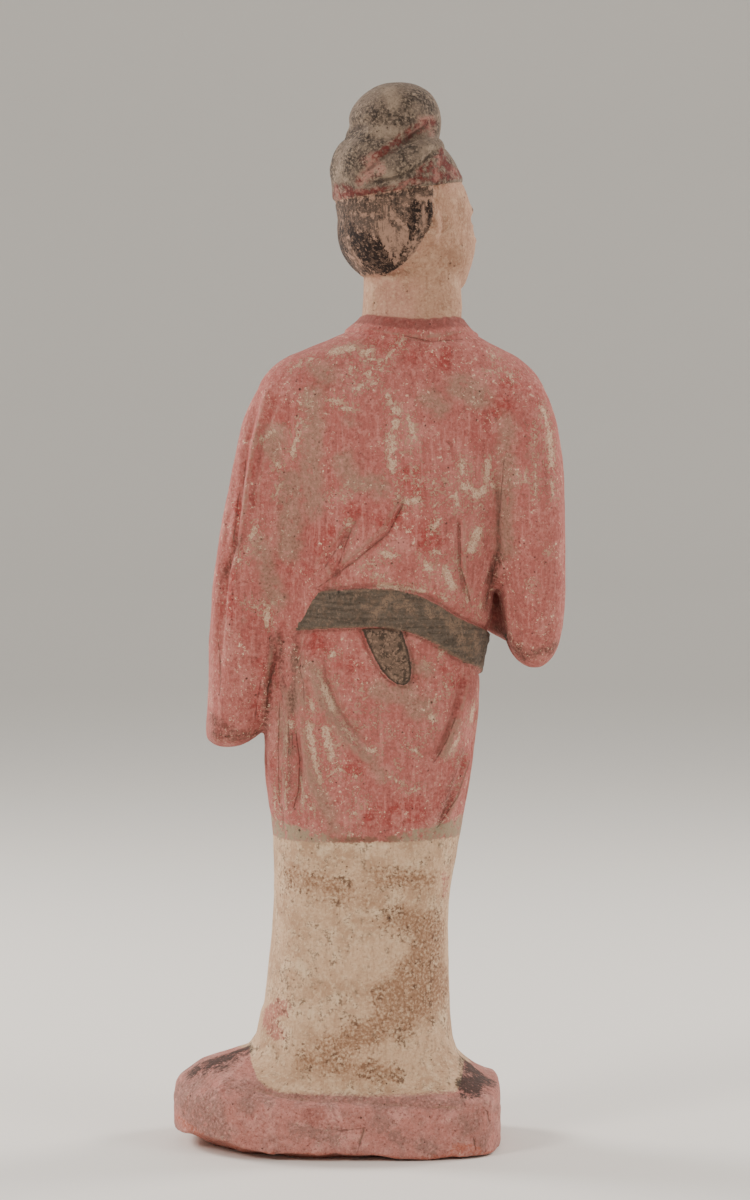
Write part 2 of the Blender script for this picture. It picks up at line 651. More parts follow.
def carveFace():  # calm and plain: its height in thirds, its width in five eyes
    eye, third, brow = head["eye"], head["third"], head["brow"]
    noseBase = brow - third
    mouth = noseBase - third / 3
    relief("face", mirrored([
        (eye, 0.6, 5.8, 3.8, -2.8),  # socket
        (eye, -0.2, 4.2, 2.3, 2.5),  # eyeball
        (eye + 0.6, brow + 0.6, 6.4, 1.8, 1.3),
        (0.0, -0.6, 2.0, 6.2, 2.8),  # bridge of the nose
        (0.0, noseBase + 3.0, 2.7, 2.8, 3.3),
        (3.0, noseBase + 1.8, 1.8, 1.8, 1.8),
        (11.0, noseBase + 0.5, 6.0, 6.5, 0.7),  # cheek
        (2.0, mouth + 1.7, 3.0, 1.4, 1.3),
        (0.0, mouth - 1.9, 4.2, 1.6, 1.6),
        (0.0, mouth - 5.0, 5.0, 1.9, -0.9),
        (0.0, mouth - 9.4, 6.0, 3.8, 1.8),  # chin
    ]))
    strokes("face", [
        ((-eye * 1.6, 1.0), (-eye * 0.45, -0.1), 2.2, 0.9, 0.6, 0.8),
        ((eye * 0.45, -0.1), (eye * 1.6, 1.0), 2.2, 0.9, 0.6, 0.8),
        ((-eye * 1.5, 0.0), (-eye * 0.5, -0.7), -1.7, 0.8, 0.4, 0.0),
        ((eye * 0.5, -0.7), (eye * 1.5, 0.0), -1.7, 0.8, 0.4, 0.0),
        ((-7.0, mouth + 0.3), (7.0, mouth + 0.3), -0.7, 1.1, 1.0, 0.0),
    ])


def slabLift():  # how far the worn lower edge stands off the floor at each point
    away = skin["points"] - np.array(foot)
    reach = np.hypot(away[:, 0] / slab["half"][0], away[:, 1] / slab["half"][1])
    left = ease((-away[:, 0] - 25.0) / 30)
    near = ease((-away[:, 1] - 10.0) / 25) * ease((30.0 - away[:, 0]) / 25)
    return (0.7 + 5.0 * left + 2.0 * near) * ease((reach - 0.74) / 0.24)


def carveSlab():
    strokes("back", [
        # the groove where skirt and slab meet, and the turn to the left facet
        ((-42, 32.0), (4, 26.6), -1.2, 1.3, 1.3, 0.5),
        ((-8, 27.4), (50, 23.4), 0.6, 1.2, 1.2, 0.5),
        ((-50, 36), (-46, 8), 1.0, 3.0, -0.8, 0.0),
        # cracks
        ((7.8, 17.3), (5.2, 8.5), 0.2, 0.55, 0.7, 0.0),
        ((-1.4, 15.8), (7.8, 16.9), 0.3, 0.6, 0.25, 0.0),
        ((55.1, 21.5), (55.9, 17.5), 0.1, 0.6, 0.7, 0.0),
        ((50.0, 11.2), (50.4, 8.2), 0.1, 0.6, 0.6, 0.0),
    ])
    skin["points"][:, 2] += slabLift() * ease((14.0 - skin["points"][:, 2] + foot.z) / 14)
    writeSkin()


def roughness(scale, seed):  # smooth noise of that size in millimetres, from -1 to 1
    shift = Vector((seed * 17.3, seed * 5.1, seed * 9.7))
    return np.array([noise.noise(Vector(p) / scale + shift) for p in skin["points"]])


def wearSurface():  # the hand's unevenness, and a rougher fired slab
    low = ease((30.0 - skin["points"][:, 2]) / 6)
    raiseBy(0.26 * roughness(15, 1) + 0.13 * roughness(5, 2))
    raiseBy(low * (0.6 * roughness(7, 3) - 0.6 * np.clip(roughness(5, 4) - 0.2, 0, 1)))


def standUp(piece):  # a flat underside, fewer triangles, and still as seen from behind
    for v in piece.data.vertices:
        if v.co.z < foot.z + 0.35:
            v.co.z = foot.z
    piece.data.calc_loop_triangles()
    thin = piece.modifiers.new("thin", "DECIMATE")
    thin.ratio = figure["triangles"] / len(piece.data.loop_triangles)
    settle(piece)


def findHollows(piece):  # above 0 in a crease and below 0 on a ridge, before thinning
    points, normals = skin["points"], skin["normals"]
    ends, others = neighbours()
    count = np.bincount(ends, minlength=len(points))
    around = [np.bincount(ends, weights=points[others, i]) / count for i in range(3)]
    bend = np.sum((np.stack(around, axis=1) - points) * normals, axis=1)
    for _ in range(3):
        bend = 0.5 * bend + 0.5 * np.bincount(ends, weights=bend[others]) / count
    sharp = bend / (0.125 * figure["voxel"] ** 2)  # 1 where a crease's radius is 2 mm
    keep(piece, "hollow", np.clip(sharp, -2, 2))


def keep(piece, name, values):
    mark = piece.data.attributes.new(name, "FLOAT", "POINT")
    mark.data.foreach_set("value", values.astype(np.float32))


shapeSlab()
shapeRobe()
shapeHead()
attendant = joinClay()
print("clay joined:", len(attendant.data.polygons), "faces")
readSkin(attendant.data)
carveRobe()
carveBelt()
carveHead()
carveFace()
carveSlab()
wearSurface()
findHollows(attendant)
print("robe, belt, head and slab carved")
standUp(attendant)
readSkin(attendant.data)
print("thinned to", len(attendant.data.polygons), "triangles")

# Each kind of paint is kept as a distance inside its border, in millimetres, so that the
# material can break the border up with its own noise. A patch is a line and half its width.
paint = {
    "hem": 126,  # the robe's lower edge, and the height and swing of the strip above it
    "strip": (131, 3.2),
    "chin": 335,  # all above this height is skin, hair or cap
    "skirt": ((4, 5), 37.2, 30.3),  # its middle and half sizes at the mound
    "shoe": (14, 1.5, 10.2, 3.4),  # forward of the heel, above it, radius, and reach back
    # the middle that the front's wear is turned about, and how much lower it is
    "inFront": (15.5, 7),
    # where the underskirt's cream gives way to the slab's pink, across and up
    "slabLine": ((-46, 56), (-38.5, 46), (-36.6, 38.5), (-34.6, 34.3), (-31.3, 31.6),
                 (-25, 29.2), (7.8, 28.1), (33, 28.9), (43.1, 29.3), (45.3, 31.5),
                 (46, 35), (47.4, 40), (50, 48), (56, 60)),
    "stains": (
        (37.2, 69.9, 20, 57, 7.5), (20, 57, -5.7, 45.4, 5.5), (16, 64, 34, 84, 6.5),
        (-14, 42, 18, 36, 3.5), (22, 96, 36, 90, 5), (-20, 112, 2, 106, 3.5),
        (14, 112, 34, 110, 3),
    ),
    "pinkPatch": (
        (-31, 57, -25, 60, 3), (-31, 54, -27, 50, 2.4), (38.5, 112, 39.5, 104, 1.2),
    ),
    "smoke": (
        (-62, 32.6, -54, 36, 1.5), (-54, 36, -44, 39.6, 1.9), (-44, 39.6, -38, 42, 1.2),
        (46.5, 31, 51, 31, 3.4), (48.5, 35, 53, 32.5, 2.4), (46.4, 38, 48.5, 36, 1.6),
        (53, 31, 59, 30.5, 1.7),
    ),
    "soot": (
        (-51, 166.5, -33, 166, 1.7), (-51.5, 172, -44, 168, 1.4), (-28, 204, -31, 170, 1.3),
        (-19, 205, -22, 140, 0.6), (60, 207, 70, 197, 1.8), (70, 197, 83, 201, 1.3),
        (-40, 244, -47, 228, 0.9), (-26, 206, -24, 186, 0.8), (60, 236, 55, 216, 1.2),
        (46, 160, 36, 130, 0.7),
    ),
    "greyed": (
        (-44, 31, -8, 28.4, 2.4), (-8, 28, 46, 25.6, 2), (-20, 16, -4, 14, 3),
        (12, 18, 22, 12, 3), (-54.6, 33, -53.2, 20, 1.6), (-63, 24, -52, 14, 6),
        (-50, 26, -46, 12, 2.5), (28, 12, 34, 8, 2.5), (-40, 29, -30, 26, 1.5),
    ),
    "bareClay": (
        (-66, 15, -56, 11, 1.4), (43, 8.5, 52, 7, 1.5), (36, 4.5, 41, 5, 1.2),
        (-20, 5, -12, 4.6, 0.8),
    ),
    "beltTan": (
        (6.7, 217.7, 9, 216.3, 1), (11.2, 214, 17, 220.7, 1.6), (17, 220.7, 21.5, 221.4, 0.9),
        (20, 218.5, 20.6, 218, 0.9), (24.4, 217.7, 26.6, 215.5, 1),
        (31.7, 217.7, 33.2, 213.3, 1.2), (36.2, 216.3, 42, 207.4, 1), (43.5, 213.3, 45.7, 203, 1),
        (46.5, 200, 48.7, 199.3, 0.9), (50.1, 205.9, 52.3, 198.6, 0.9),
    ),
    "flakes": (
        (-4.6, 315.3, 3.2, 316.6, 1.4), (7.2, 314.8, 10.3, 316, 1.2),
        (7.2, 312.3, 15, 311.8, 0.8), (15, 312.6, 20.1, 316, 0.8), (20.1, 316, 22.4, 320.7, 0.6),
        (1.8, 307.4, 3.3, 309.7, 0.8), (8, 306.5, 15.5, 309.4, 0.9), (3.8, 301.1, 12.1, 304, 0.9),
        (-5.5, 296.7, -0.6, 296.2, 1), (-0.6, 293.3, 3.3, 293.3, 0.9),
        (16.8, 299.1, 17.5, 296, 0.9), (18.7, 293.8, 21.4, 291.8, 1.5),
        (19.9, 288.4, 17.2, 281.6, 1.3), (18.4, 280.6, 18.5, 269.9, 1.5),
        (20.4, 267.9, 20.7, 259.1, 0.4), (25.3, 289.4, 27, 277.4, 1.2),
        (28.2, 266.9, 28.5, 260, 0.4), (22.9, 257.9, 27.8, 258.3, 1.2),
        (34.1, 265.9, 35.1, 254.9, 0.7), (39.1, 266.8, 40.1, 259, 0.6),
        (42.5, 260.9, 43.5, 255, 0.6), (36.1, 251.6, 33.9, 247.7, 1.2),
        (45.5, 273.6, 45.7, 268.7, 1.3), (46, 263.8, 51, 259.8, 1.6),
        (51, 259.8, 54.5, 262.7, 1.4), (55.6, 273.5, 55, 266.1, 1.3),
        (55, 266.1, 57.8, 263.1, 0.8), (47.5, 256.7, 52.5, 255.6, 0.7),
        (51.7, 246.9, 48.8, 238.6, 1.7), (-16.5, 288.9, -20.2, 275.6, 1),
        (-26.3, 271.6, -25.2, 271.1, 1), (76.5, 294.1, 79.4, 284.3, 0.9),
        (79.2, 284.3, 80.3, 270.5, 1.2), (73.3, 286.3, 73.8, 258.7, 0.3),
        (66.8, 268.6, 67, 264.7, 0.6), (69.8, 268.6, 70, 264.7, 0.6), (15, 238, 18.9, 237, 1.2),
        (30.2, 238.4, 36.6, 238.1, 0.8), (31.7, 233.5, 32.9, 231, 1.5),
        (38.8, 231.9, 41.7, 224.4, 1.5), (38.5, 220.9, 39.1, 220.4, 1.4),
        (42.9, 237.1, 44.9, 229.1, 0.4), (47.2, 224.2, 47.7, 217.1, 0.4),
        (13.1, 225.5, 31.3, 223.4, 0.9), (-37.4, 218.1, -32.4, 215.3, 0.6),
        (-32.4, 215.3, -28, 217.8, 0.6), (-30.3, 215.6, -30.3, 210, 1.2),
        (-34.1, 248.8, -36.3, 243.4, 0.9), (-32.3, 281.4, -27.3, 285.2, 0.8),
        (-0.6, 259.1, 1.5, 265, 0.5), (1.3, 249.3, 1.7, 248.7, 0.9),
        (57.6, 313.9, 58.6, 312.9, 0.9), (55.5, 307.9, 61, 308, 0.5),
        (64, 306.5, 64.7, 305.5, 0.8), (25.8, 266.9, 26.6, 272.8, 0.3),
        (-21.3, 308.9, -12.5, 312.8, 0.5), (-15.3, 298.2, -13.8, 295.2, 0.5),
        (-6.5, 259, -4.6, 260, 0.4), (52.3, 212.8, 52.8, 217.8, 0.4), (6.2, 265, 6.4, 264.5, 0.5),
        (12.1, 229.7, 15, 228.7, 0.7), (7.2, 233.6, 13.1, 235.6, 0.4),
        (78.3, 238.9, 78.7, 237.9, 0.5), (72.4, 225.1, 72.8, 224.1, 0.5),
        (-41.3, 234, -37.3, 238.5, 0.5), (-26.4, 260.7, -24.9, 264.7, 0.6),
        (80.3, 264.6, 80.8, 258.6, 0.5), (-9.9, 192.4, -7.9, 186.2, 0.7),
        (-7.9, 186.2, -4.9, 178.5, 1.3), (-4.9, 178.5, -3.7, 176.3, 0.6),
        (-1, 171.9, 3.4, 165.6, 0.7), (-3.2, 200, -5.1, 198.5, 0.7),
        (-13.2, 181, -12.1, 177.4, 1), (-13.8, 171.8, -12.4, 163, 1.4),
        (-12.4, 163, -10.8, 154.9, 1), (-9.9, 151.9, -8.9, 147.9, 0.6),
        (-7.3, 169.8, -5.1, 159.4, 1.8), (-2.8, 164.7, -2.5, 164.3, 0.8),
        (-5.1, 152.7, -1.7, 154.6, 0.7), (5.3, 172.4, 7.5, 172.7, 0.7),
        (11.2, 172.7, 12.6, 172.8, 0.6), (3.8, 152, 4.5, 151.9, 0.8),
        (8.9, 162.3, 12.6, 161.6, 0.7), (17.1, 151.7, 21.9, 148.6, 0.4),
        (25.6, 146.3, 28.2, 147, 0.8), (3.8, 143.8, 4.5, 143.6, 0.9),
        (8.6, 142.1, 9.7, 142.4, 0.4), (2.7, 137.1, 4.1, 137.4, 0.8),
        (1.4, 128.8, 2.4, 125.8, 0.5), (33.7, 174.4, 34.9, 172.1, 1.3),
        (43.9, 165.5, 41, 159.8, 0.7), (28.9, 167.5, 31.9, 168.1, 0.7),
        (27.1, 161.6, 27.6, 161.5, 0.7), (50.2, 177.5, 49.3, 172, 0.9),
        (36.3, 198, 38.5, 199.5, 0.6), (40.8, 188.9, 34.8, 180.7, 0.3),
        (-21.1, 172.4, -20.8, 170.6, 1.1), (-22.6, 169.8, -23, 138.2, 0.2),
        (-25.3, 149.1, -25, 130.2, 0.2), (-27.5, 145, -26.8, 129.7, 0.2),
        (-16.9, 150.8, -16.1, 138.8, 0.4), (-14.7, 144.2, -12.5, 136.8, 0.4),
        (6, 184.6, 6.4, 183.8, 0.7), (17.1, 168.9, 17.7, 168.5, 0.7),
        (23.3, 163.7, 23.7, 163.4, 0.7), (4.2, 178.7, 6.7, 179.4, 0.4),
        (14.5, 178.6, 14.7, 178.1, 0.6), (32.2, 195.2, 32.6, 194.5, 0.4),
        (40.1, 185.2, 40.4, 183.7, 0.4), (45.9, 157.5, 43.9, 155.6, 0.4),
        (42.5, 146.4, 43, 146, 0.4), (-30.4, 217.7, -34.8, 217, 0.4),
        (-3.6, 224.3, -3.2, 224.3, 0.3), (20, 155.5, 20.4, 155.1, 0.4),
        (-3.6, 188.9, -2.8, 188.2, 0.3),
    ),
    "rich": (
        (57.4, 291.2, 61.4, 293.2, 5.9), (25.8, 267.9, 26.8, 259.1, 4.4),
        (-7.5, 241.3, -7.5, 235.4, 5.9), (65.5, 304, 71.4, 298.1, 3.9),
        (13.1, 319.7, 17, 318.7, 3), (28.7, 255.1, 32.7, 244.3, 4.4),
        (26.8, 312.8, 38.7, 311.9, 3.4), (5.2, 253.3, 22.9, 249.3, 3.9),
        (-36.3, 280.4, -35.7, 260.7, 2), (-14.5, 231.3, -12.5, 227.5, 3.9),
        (-1.4, 155, 3.8, 154.2, 4.1), (11.2, 136.2, 28.2, 137.2, 4.4),
        (45.6, 153.6, 46.3, 156.5, 3.3), (-11, 204.2, -9.5, 202.8, 3.3),
        (39.3, 193.4, 42.3, 187.3, 3.3), (6.7, 188.3, 12.6, 182.3, 3.7),
        (-33.6, 171, -32, 192.9, 3), (-30.7, 182, -28.4, 192.6, 2.2),
        (-1.4, 194.1, 3.8, 197.1, 3), (-42, 256, -46, 214, 2.6),
    ),
    "worn": (
        (-12.4, 298.2, -13, 254.9, 3), (-8.5, 307.9, -6.5, 306.9, 3.2),
        (62.9, 288.3, 62.2, 238.6, 2.4), (-32.3, 240.9, -26.6, 219.9, 2.6),
        (-20.5, 264.6, -21.6, 238.8, 3.9), (9.2, 265, 13.1, 263, 3), (-0.6, 272.8, 3.3, 265, 3),
        (44.5, 302, 52.5, 298.1, 3.9), (-26.3, 283.4, -27.3, 276.5, 3),
        (32.7, 296.2, 35.6, 294.2, 3), (-18.1, 196.5, -17.5, 180.5, 1.3),
        (-19.9, 177.2, -22.2, 183.1, 1), (12.6, 184.5, 21.5, 182.2, 3),
        (23, 183.6, 28.9, 177.5, 3.7), (-12.4, 194, -10.2, 188.1, 1),
        (-10.2, 188.1, -3.6, 174.2, 1.2), (-3.6, 174.2, 10.4, 157.9, 1.2),
        (-14.7, 168.8, -12.5, 151.9, 0.9), (-12.5, 151.9, -3.6, 131.8, 1.5),
        (21.5, 197, 31.9, 192.3, 1.9), (43.1, 170.9, 39.4, 160.7, 0.9),
        (-24.5, 178.2, -23.7, 160.8, 1), (11.2, 157.1, 14.1, 152.6, 1.5),
    ),
    # dark creases and cracks, each a chain of points
    "lines": (
        ((44.6, 246.9), (44.6, 233.1), (48.9, 217.1)), ((59.4, 238.5), (55.1, 217.6)),
        ((2.3, 246.2), (-2.1, 234.1)), ((-0.6, 243.2), (-7.3, 233)),
        ((17, 246.2), (21.9, 255.6)), ((15, 244.4), (3.3, 234.5), (-10, 224.8)),
        ((-9.5, 223.6), (7.2, 224.6)), ((22.9, 321.5), (32.8, 319.3), (47.7, 320.3)),
        ((-38.3, 272.5), (-39.5, 260.6)), ((-41.3, 258.6), (-43.3, 240.8)),
        ((61.5, 272.5), (59.7, 248.5)), ((-18.5, 197.2), (-16, 187.9), (-15.7, 182.1)),
        ((-18.8, 168.4), (-17.3, 157.5), (-17.7, 146.2), (-19.6, 139.4)),
        ((-26.9, 194.8), (-29.8, 185), (-30.4, 177.5)), ((-29.2, 204.7), (-29, 201.7)),
        ((-49.2, 201.8), (-48.4, 192.9), (-48.7, 182.4)),
        ((-25.3, 178.1), (-25.9, 160.3), (-25.4, 139.3)), ((-24.1, 138.6), (-23.9, 130.4)),
        ((-21.8, 174.3), (-21.4, 160.9)), ((42.7, 172.7), (39.4, 164.4), (35, 157.1)),
        ((48.6, 155.6), (44.1, 142.7), (36.5, 131.4)), ((54, 224.8), (56.7, 231.3)),
        ((45.5, 230.6), (49, 217.7)), ((-32.8, 186.9), (-35, 173.5)),
        ((7.8, 17.3), (5.2, 8.5)), ((-1.4, 15.8), (7.8, 16.9)), ((55.1, 21.5), (55.9, 17.5)),
        ((50, 11.2), (50.4, 8.2)),
    ),
    "hairBlack": (
        (-17.6, -6.7, -13, -15.2, 3.2), (-13, -15.2, -5.3, -17.2, 2.6),
        (-10.7, -9, -7.6, -15.2, 2.4), (-3, -15.2, -0.7, -10.6, 1.2),
        (5.9, -15.2, 7.8, -9.8, 0.8), (2.4, -2.1, 4, 7.1, 1.7), (9, 8.7, 9.7, -3.7, 0.6),
        (1, -6, 3, -3, 1.4), (-20.5, -3, -18.5, -9, 2),
    ),
    "hairGrey": (
        (-20.7, 6.3, -6.8, 5.6, 2.8), (-19.1, 0.2, -5.3, -1.3, 2.6), (-4.1, 6.7, -0.3, 2.9, 2),
        (-22.8, 3.9, -22, -4, 1.8), (-7, 11.3, 2, 11, 1.6), (5.5, 8, 5.5, -6, 1.4),
        (-2, -2, 2, -10, 1.2), (-24.9, 4.1, -22.1, -3.6, 0.9),
    ),
    "hairBare": (
        (-7.9, -3.7, -0.3, -5.6, 2.4), (-7, -6, -4, -14, 2.2), (-13.2, -1.2, -7, -0.7, 1),
        (-7.4, 5.5, -5, 2.1, 1.5), (1, -8, 4.5, -10, 1.4), (-2, -7, -2, -13, 0.8),
        (7.2, 6, 7.2, -8, 0.8),
    ),
    # one brow, upper lid and pupil, and the lips, on the plain face's own proportions
    "ink": (
        (-13.4, 5.6, -9.2, 7.3, 0.75), (-9.2, 7.3, -3.8, 6.4, 0.8), (-12.6, 0.5, -8.4, 1.9, 0.6),
        (-8.4, 1.9, -4.2, 0.3, 0.6), (-8.3, 0.4, -8.1, 0.4, 1.2),
    ),
    "lips": ((-4.4, -12.9, 4.4, -12.9, 1), (-2.6, -15.2, 2.6, -15.2, 1.1)),
    "skinPale": (
        (-9, -20.5, -5.9, -21.5, 1.2), (-15.3, -25.8, -12.1, -24.9, 1.2),
        (-14.6, -23.4, -13.9, -23.8, 0.4), (2.6, 12.3, 3.9, 11, 0.7),
        (-9, -21.8, -0.1, -21.6, 0.4),
    ),
    "skinBrown": (
        (7.4, 11.4, 9.5, 5.6, 1.9), (9.8, 0.8, 10.7, -1.4, 0.7), (6.7, 5.6, 8.1, 2.2, 1),
        (7.7, 14.5, 11.6, 15, 0.8), (15.8, -0.3, 15.8, -2, 0.3), (-16.6, -16, -7, -17.2, 0.5),
        (-11.8, -19.1, -0.1, -19.2, 0.3), (-5.6, -4.1, -5, -6.1, 0.3),
    ),
    "capDark": (
        (5.4, 49.5, 9.6, 44, 1.9), (2.6, 48.6, -0.1, 45.3, 1), (-1.9, 41.1, -1.9, 38, 1),
        (-13.2, 43, -11.8, 40.5, 1.6), (-7.4, 41.8, -3.6, 41.4, 0.5), (-9.1, 45, -7.7, 42.8, 0.3),
        (-17.7, 34.2, -14.9, 31.2, 2.1), (-20.7, 27.4, -22.5, 18.9, 1.7),
        (-15.9, 26.9, -17.3, 22.1, 1.2), (-11.8, 27.9, -9.1, 30.7, 0.9),
        (-1.5, 26.9, -0.2, 20.6, 1.7), (1.9, 29.1, 2.6, 28, 1), (11.7, 38.7, 12, 34.6, 0.8),
        (-1.6, 18.6, -1.2, 19.6, 0.7), (-11.8, 16.6, -8.4, 14.5, 0.9), (-0.2, 12.8, 3.9, 13.2, 1),
        (9.5, 23.6, 12.6, 26.5, 0.8), (5.3, 20.8, 9.5, 23.6, 0.4),
        (-22.5, 14.5, -21.1, 11.1, 0.9), (12.6, 15.2, 17.1, 17.1, 0.8),
        (-19.8, 41.1, -18.7, 42.7, 0.6), (-7, 38.7, -1.5, 38, 0.8), (0.5, 38.7, 1.9, 40.1, 0.7),
        (-24.9, 14.7, -24.2, 12.3, 0.5), (17.2, 24.2, 16.5, 20.6, 0.7),
        (1.2, 17.6, 5.3, 17.6, 0.5),
    ),
    "capPink": (
        (-15.9, 23.4, -11.8, 25.4, 0.9), (-14.9, 19.3, -13.2, 17.9, 1),
        (-17.3, 15.6, -14.9, 18, 0.8), (-11.8, 23.4, -10.4, 19.9, 1.6),
        (-13.2, 21.7, -11.8, 18.9, 1.4), (6.4, 39.6, 10.3, 39.9, 0.7),
        (9.9, 37.8, 10.3, 34.4, 0.6), (-24.2, 12.3, -20.8, 9.4, 0.7), (2.6, 15.5, 4.6, 14.7, 0.3),
        (17.9, 20, 18.6, 18.3, 0.8),
    ),
    "capPale": (
        (-9.1, 35.6, -3.6, 34.2, 1.4), (-11.8, 34.6, -7, 32.5, 1), (-7, 36.6, -2.9, 36.9, 0.6),
        (-6, 50, -4.9, 44.9, 2.1), (-10.4, 19.9, -6.3, 17.5, 1.4), (6.7, 28.3, 11.6, 28.2, 0.7),
        (-27, 21, -27.7, 15.9, 1), (-27.4, 26.3, -26.3, 29.1, 0.8), (-7, 13.8, -3.6, 14.8, 0.3),
    ),
    "capRed": (
        (10.3, 38.9, 7.5, 37.7, 1.4), (7.5, 37.7, 3.3, 35.4, 1.6), (3.3, 35.4, -1.5, 32.2, 1.7),
        (-1.5, 32.2, -5.6, 29, 1.8), (-5.6, 29, -8.4, 26.8, 1.9), (-8.4, 26.8, -11.8, 24.8, 1.4),
        (-26, 10.1, -20.7, 11.1, 1.2), (-20.7, 11.1, -13.2, 11.2, 1.2),
        (-13.2, 11.2, -7, 11.9, 1.4), (-7, 11.9, -0.2, 14.1, 1.2), (-0.2, 14.1, 4.6, 16.3, 0.8),
        (5.3, 16.9, 13.6, 16.6, 1.4), (13.6, 16.6, 18.6, 18.3, 1), (8.1, 20.1, 14.4, 24.6, 2.1),
        (9.4, 18.4, 15.7, 20.2, 2.4), (14, 28, 15.1, 24.7, 0.9), (15.4, 24, 18.9, 19.7, 1),
        (6, 19.4, 7.4, 18.4, 1.4), (-24.2, 14.3, -20.7, 12.1, 0.9),
        (-18.7, 15.4, -17.3, 16.7, 0.7),
    ),
    "browTie": ((-23, 17.2, 23, 19.8, 1.9),),
}


farOut = 6.0  # millimetres outside a border, from where on nothing of it is seen


def lineInside(flat, lines):  # half width less the distance from the nearest line
    best = np.full(len(flat), -farOut)
    for x0, z0, x1, z1, half in lines:
        start, run = np.array((x0, z0)), np.array((x1 - x0, z1 - z0))
        near = np.all(flat > np.minimum(start, start + run) - half - farOut, axis=1)
        near &= np.all(flat < np.maximum(start, start + run) + half + farOut, axis=1)
        away = flat[near] - start
        t = np.clip(away @ run / max(run @ run, 1e-6), 0, 1)
        distance = np.linalg.norm(away - t[:, None] * run, axis=1)
        best[near] = np.maximum(best[near], half - distance)
    return best


def fromSide(side, patches):  # fades a pattern out where the surface turns away
    flat, square = seenFrom(side)
    return lineInside(flat, patches) * square - farOut * (1 - square)


def nearSide(patches):  # keeps a pattern on the near half, also where it lies flat
    flat, _ = seenFrom("back")
    return lineInside(flat, patches) - 8.0 * ease(skin["points"][:, 1] / 12)


def creaseFields(lines):  # offset to the left of the nearest line, and minus the distance
    flat, square = seenFrom("back")
    off, nearest = np.full(len(flat), 1.5 * farOut), np.full(len(flat), -1.5 * farOut)
    for path in [np.array(pair) for chain in lines for pair in zip(chain, chain[1:])]:
        close = np.all((flat > path.min(0) - farOut) & (flat < path.max(0) + farOut), axis=1)
        offset, _ = distanceAlong(flat[close], path)
        better = -np.abs(offset) > nearest[close]
        places = np.flatnonzero(close)[better]
        off[places], nearest[places] = offset[better], -np.abs(offset[better])
    return off, nearest - farOut * (1 - square)


def inFront(patches):  # the same wear a little lower and the other way round
    middle, drop = paint["inFront"]
    return [(2 * middle - x0, z0 - drop, 2 * middle - x1, z1 - drop, half)
            for x0, z0, x1, z1, half in patches]


def bothHalves(patches):  # the same again on the other half of the face
    return [*patches, *((-x0, z0, -x1, z1, half) for x0, z0, x1, z1, half in patches)]


def markPaint(piece):
    x, y, height = skin["points"].T
    angle = np.radians(aroundBody(skin["points"]))
    keep(piece, "robeIn", height - paint["hem"])
    middle, swing = paint["strip"]
    keep(piece, "stripIn", middle - swing * np.cos(2 * angle) - height)
    keep(piece, "sideways", np.abs(np.sin(angle)))
    _, _, inside, shown = beltInside()
    tongue, square, below = tongueInside()
    keep(piece, "beltIn", np.where(shown > 0.5, inside, -farOut))
    keep(piece, "tongueIn", np.where((square > 0.2) & (below > 0), tongue, -farOut))
    over = capInside()
    keep(piece, "capIn", over)
    keep(piece, "hairIn", np.minimum(hairInside(), -over))
    collar, nearNeck = collarHeight()
    elsewhere = np.where(height > paint["chin"], farOut, -farOut)
    neck = np.where(nearNeck > 0.5, collar - 4.0, elsewhere)
    keep(piece, "skinIn", neck)
    edge = np.interp(x, *np.array(paint["slabLine"]).T)
    (middleX, middleY), halfWidth, halfDepth = paint["skirt"]
    c, s = 0.985, 0.174  # for the body's turn
    skirtX = (x - middleX) * c - (y - middleY) * s
    skirtY = (x - middleX) * s + (y - middleY) * c
    outside = 33.0 * (np.hypot(skirtX / halfWidth, skirtY / halfDepth) - 1.25)
    far = ease((y + 6.0) / 14)
    onSlab = mixed(edge - height, np.minimum(outside, 50.0 - height), far)
    keep(piece, "slabIn", np.clip(onSlab, -farOut, farOut))
    lift = foot.z + slabLift() * 0.85
    keep(piece, "clayIn", np.maximum(1.0 + lift - height, fromSide("back", paint["bareClay"])))
    for name in ("stains", "pinkPatch", "beltTan", "soot"):
        keep(piece, name + "In", fromSide("back", paint[name]))
    for name in ("smoke", "greyed"):
        keep(piece, name + "In", nearSide(paint[name]))
    off, nearest = creaseFields(paint["lines"])
    keep(piece, "creaseOff", off)
    keep(piece, "creaseNear", nearest)
    for name in ("flakes", "rich", "worn"):
        marks = fromSide("back", paint[name])
        keep(piece, name + "In", np.maximum(marks, fromSide("front", inFront(paint[name]))))
    for name in ("hairBlack", "hairGrey", "hairBare", "skinPale", "skinBrown",
                 "capDark", "capPink", "capPale", "capRed"):
        marks = [fromSide(side, paint[name]) for side in ("headNear", "headFar")]
        if name == "capRed":  # the tie runs on round the brow
            marks.append(fromSide("face", paint["browTie"]))
        keep(piece, name + "In", np.max(marks, axis=0))
    keep(piece, "inkIn", fromSide("face", bothHalves(paint["ink"])))
    keep(piece, "lipsIn", fromSide("face", paint["lips"]))
    forward, above, radius, back = paint["shoe"]
    shoes = np.full(len(height), -farOut)
    for across, splay in robe["toes"]:
        toe = turned(figure["bodyYaw"] + splay)
        middle = Vector((across, *robe["heel"])) + up * above + toe * forward
        gap = skin["points"] - np.array(middle)
        near = np.minimum(radius - np.linalg.norm(gap, axis=1), gap @ np.array(toe) + back)
        shoes = np.maximum(shoes, near)
    keep(piece, "shoeIn", shoes)


markPaint(attendant)
turn = Matrix.Rotation(math.radians(180.0 - figure["bodyYaw"]), 4, "Z")
attendant.data.transform(Matrix.Scale(0.001, 4) @ turn @ Matrix.Translation(-foot))
attendant.data.shade_smooth()
print("paint marked, figure stood up")

